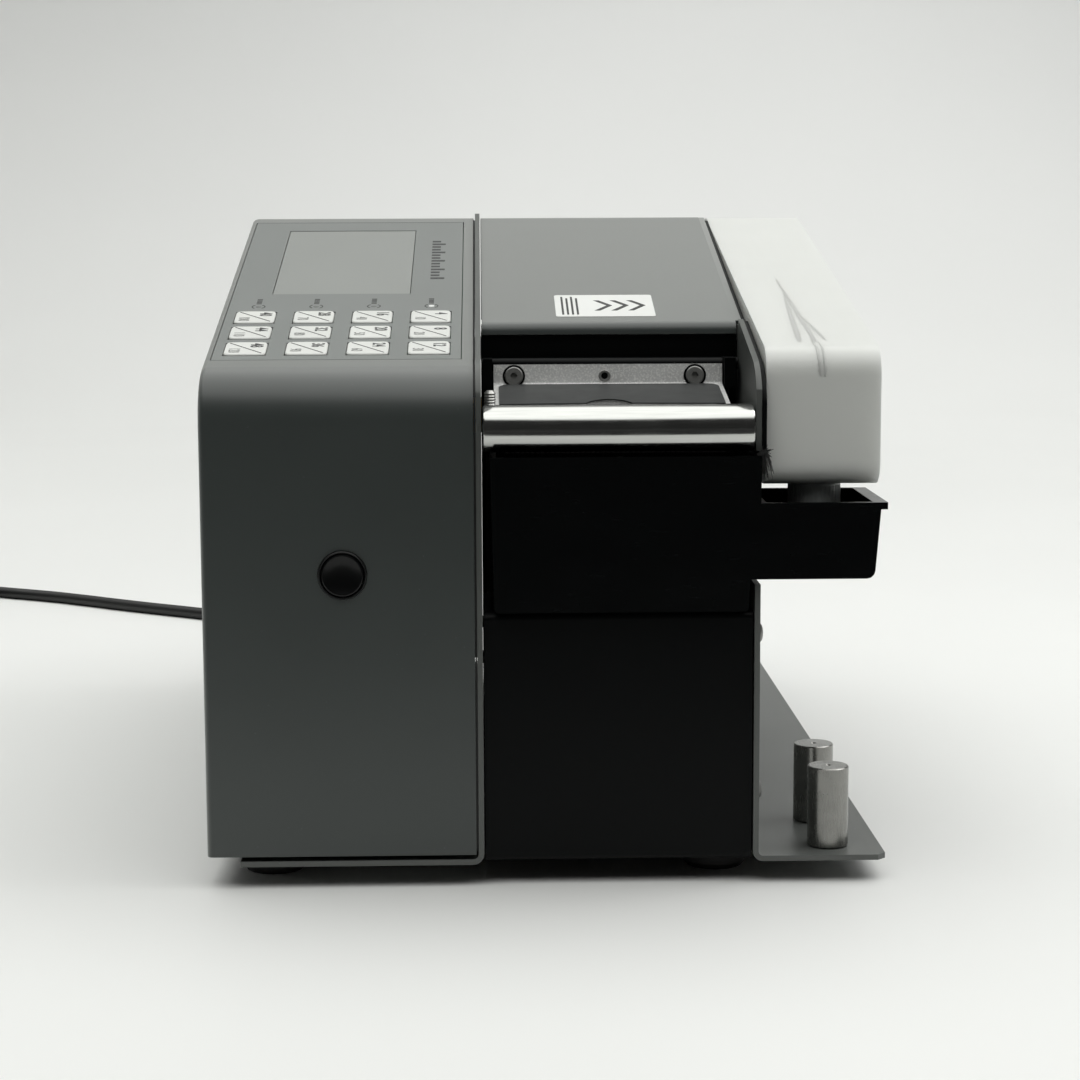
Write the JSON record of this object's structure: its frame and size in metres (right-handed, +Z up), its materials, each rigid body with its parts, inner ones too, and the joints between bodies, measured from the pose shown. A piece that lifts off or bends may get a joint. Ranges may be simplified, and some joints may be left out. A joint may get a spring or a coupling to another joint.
{
  "type": "electric paper tape dispenser",
  "caption": "Table-top electric dispenser for water-activated paper tape, with a keypad and display housing, hinged cover, polished exit bar, water tank and feed bottle.",
  "frame": {"origin": "centre of the footprint of the machine without its cord, on the table", "axes": "+X to the operator's right, +Y to the rear, +Z up"},
  "size_m": [0.5796, 0.7304, 0.2432],
  "materials": {
    "housing_paint": "satin powder coat, charcoal",
    "chassis_paint": "satin powder coat, grey",
    "black_paint": "satin black",
    "overlay_film": "printed film, matte",
    "key_cap": "white film, satin",
    "screen": "frosted window",
    "button_black": "semi-gloss black",
    "tank_black": "satin black moulding",
    "bar_steel": "ground and polished",
    "plate_steel": "brushed",
    "zinc_steel": "zinc plated",
    "post_steel": "ground",
    "bottle_hdpe": "milky, slightly translucent",
    "cap_plastic": "smoky",
    "foot_rubber": "matte",
    "roller_rubber": "matte",
    "board": "solder mask",
    "brass_gear": "machined",
    "bristle": "nylon bristles",
    "cord_sheath": "black sheath"
  },
  "bodies": {
    "frame": {"divider_chassis": "chassis_paint", "side_plate": "chassis_paint", "floor_pan": "black_paint", "lower_front_panel": "black_paint", "rubber_foot_front_left": "foot_rubber", "rubber_foot_rear_left": "foot_rubber", "rubber_foot_front_right": "foot_rubber", "rubber_foot_rear_right": "foot_rubber", "steel_post_front": "post_steel", "steel_post_rear": "post_steel", "control_housing": "housing_paint", "keypad_overlay": "overlay_film", "display_window": "screen", "control_board": "board", "main_board": "board", "power_supply": "zinc_steel", "feed_motor": "zinc_steel", "feed_bearing": "brass_gear", "pinch_bracket": "black_paint", "tape_ramp": "zinc_steel", "cutter_bridge": "black_paint", "fixed_blade": "plate_steel", "cutter_solenoid": "zinc_steel", "lid_hinge": "zinc_steel", "bottle_cradle": "chassis_paint", "cord_gland": "tank_black", "power_cord": "cord_sheath", "cord_coil": "cord_sheath", "cord_plug": "cord_sheath"},
    "button": {"feed_button": "button_black"},
    "rocker": {"power_rocker": "button_black"},
    "feed": {"feed_roller": "roller_rubber", "feed_gear": "brass_gear"},
    "motor_shaft": {"motor_pinion": "plate_steel"},
    "pinch": {"pinch_roller": "plate_steel"},
    "roll_front": {"roll_support_front": "zinc_steel"},
    "roll_rear": {"roll_support_rear": "zinc_steel"},
    "blade": {"moving_blade": "plate_steel", "blade_plunger": "plate_steel"},
    "pressure": {"pressure_plate": "plate_steel", "pressure_arms": "black_paint"},
    "cover": {"tape_cover": "housing_paint"},
    "tank": {"water_tank": "tank_black", "brush_bracket": "black_paint", "wetting_brush": "bristle", "guide_bar": "bar_steel"},
    "bottle": {"water_bottle": "bottle_hdpe", "bottle_cap": "cap_plastic"},
    "key_4": {"key_4": "key_cap"},
    "key_8": {"key_8": "key_cap"},
    "key_12": {"key_12": "key_cap"},
    "key_16": {"key_16": "key_cap"},
    "key_20": {"key_20": "key_cap"},
    "key_24": {"key_24": "key_cap"},
    "key_28": {"key_28": "key_cap"},
    "key_32": {"key_32": "key_cap"},
    "key_36": {"key_36": "key_cap"},
    "key_40": {"key_40": "key_cap"},
    "key_44": {"key_44": "key_cap"},
    "key_48": {"key_48": "key_cap"}
  },
  "joints": [
    {"name": "key_4_press", "type": "slide", "parent": "frame", "child": "key_4", "axis": [0, 0.2504, -0.9681], "range_m": [0, 0.0004], "stiffness_N_per_m": 2500},
    {"name": "key_8_press", "type": "slide", "parent": "frame", "child": "key_8", "axis": [0, 0.2504, -0.9681], "range_m": [0, 0.0004], "stiffness_N_per_m": 2500},
    {"name": "key_12_press", "type": "slide", "parent": "frame", "child": "key_12", "axis": [0, 0.2504, -0.9681], "range_m": [0, 0.0004], "stiffness_N_per_m": 2500},
    {"name": "key_16_press", "type": "slide", "parent": "frame", "child": "key_16", "axis": [0, 0.2504, -0.9681], "range_m": [0, 0.0004], "stiffness_N_per_m": 2500},
    {"name": "key_20_press", "type": "slide", "parent": "frame", "child": "key_20", "axis": [0, 0.2504, -0.9681], "range_m": [0, 0.0004], "stiffness_N_per_m": 2500},
    {"name": "key_24_press", "type": "slide", "parent": "frame", "child": "key_24", "axis": [0, 0.2504, -0.9681], "range_m": [0, 0.0004], "stiffness_N_per_m": 2500},
    {"name": "key_28_press", "type": "slide", "parent": "frame", "child": "key_28", "axis": [0, 0.2504, -0.9681], "range_m": [0, 0.0004], "stiffness_N_per_m": 2500},
    {"name": "key_32_press", "type": "slide", "parent": "frame", "child": "key_32", "axis": [0, 0.2504, -0.9681], "range_m": [0, 0.0004], "stiffness_N_per_m": 2500},
    {"name": "key_36_press", "type": "slide", "parent": "frame", "child": "key_36", "axis": [0, 0.2504, -0.9681], "range_m": [0, 0.0004], "stiffness_N_per_m": 2500},
    {"name": "key_40_press", "type": "slide", "parent": "frame", "child": "key_40", "axis": [0, 0.2504, -0.9681], "range_m": [0, 0.0004], "stiffness_N_per_m": 2500},
    {"name": "key_44_press", "type": "slide", "parent": "frame", "child": "key_44", "axis": [0, 0.2504, -0.9681], "range_m": [0, 0.0004], "stiffness_N_per_m": 2500},
    {"name": "key_48_press", "type": "slide", "parent": "frame", "child": "key_48", "axis": [0, 0.2504, -0.9681], "range_m": [0, 0.0004], "stiffness_N_per_m": 2500},
    {"name": "button_press", "type": "slide", "parent": "frame", "child": "button", "axis": [0, 1, 0], "range_m": [0, 0.0025], "stiffness_N_per_m": 500},
    {"name": "rocker_tilt", "type": "hinge", "parent": "frame", "child": "rocker", "pos_m": [-0.05705, 0.1974, 0.07], "axis": [1, 0, 0], "range_deg": [0, 12]},
    {"name": "feed_spin", "type": "hinge", "parent": "frame", "child": "feed", "pos_m": [0.02495, -0.0961, 0.163], "axis": [1, 0, 0], "continuous": true},
    {"name": "motor_spin", "type": "hinge", "parent": "frame", "child": "motor_shaft", "pos_m": [-0.03455, -0.0586, 0.163], "axis": [1, 0, 0], "continuous": true},
    {"name": "pinch_spin", "type": "hinge", "parent": "frame", "child": "pinch", "pos_m": [0.02495, -0.0961, 0.1834], "axis": [1, 0, 0], "continuous": true},
    {"name": "roll_front_spin", "type": "hinge", "parent": "frame", "child": "roll_front", "pos_m": [0.02495, 0.0439, 0.04], "axis": [1, 0, 0], "continuous": true},
    {"name": "roll_rear_spin", "type": "hinge", "parent": "frame", "child": "roll_rear", "pos_m": [0.02495, 0.1439, 0.04], "axis": [1, 0, 0], "continuous": true},
    {"name": "blade_stroke", "type": "slide", "parent": "frame", "child": "blade", "axis": [0, 0, -1], "range_m": [0, 0.009], "stiffness_N_per_m": 400, "springref_m": -0.003},
    {"name": "pressure_lift", "type": "hinge", "parent": "frame", "child": "pressure", "pos_m": [0.02495, -0.1416, 0.1855], "axis": [-1, 0, 0], "range_deg": [0, 60]},
    {"name": "cover_open", "type": "hinge", "parent": "frame", "child": "cover", "pos_m": [0.02495, 0.2019, 0.186], "axis": [-1, 0, 0], "range_deg": [0, 100]},
    {"name": "tank_pull", "type": "slide", "parent": "frame", "child": "tank", "axis": [0, -1, 0], "range_m": [0, 0.065]},
    {"name": "bottle_lift", "type": "slide", "parent": "tank", "child": "bottle", "axis": [0, 0, 1], "range_m": [0, 0.06]}
  ],
  "couplings": [
    {"joint": "motor_spin", "follows": "feed_spin", "ratio": -2},
    {"joint": "pinch_spin", "follows": "feed_spin", "ratio": -1.5}
  ]
}
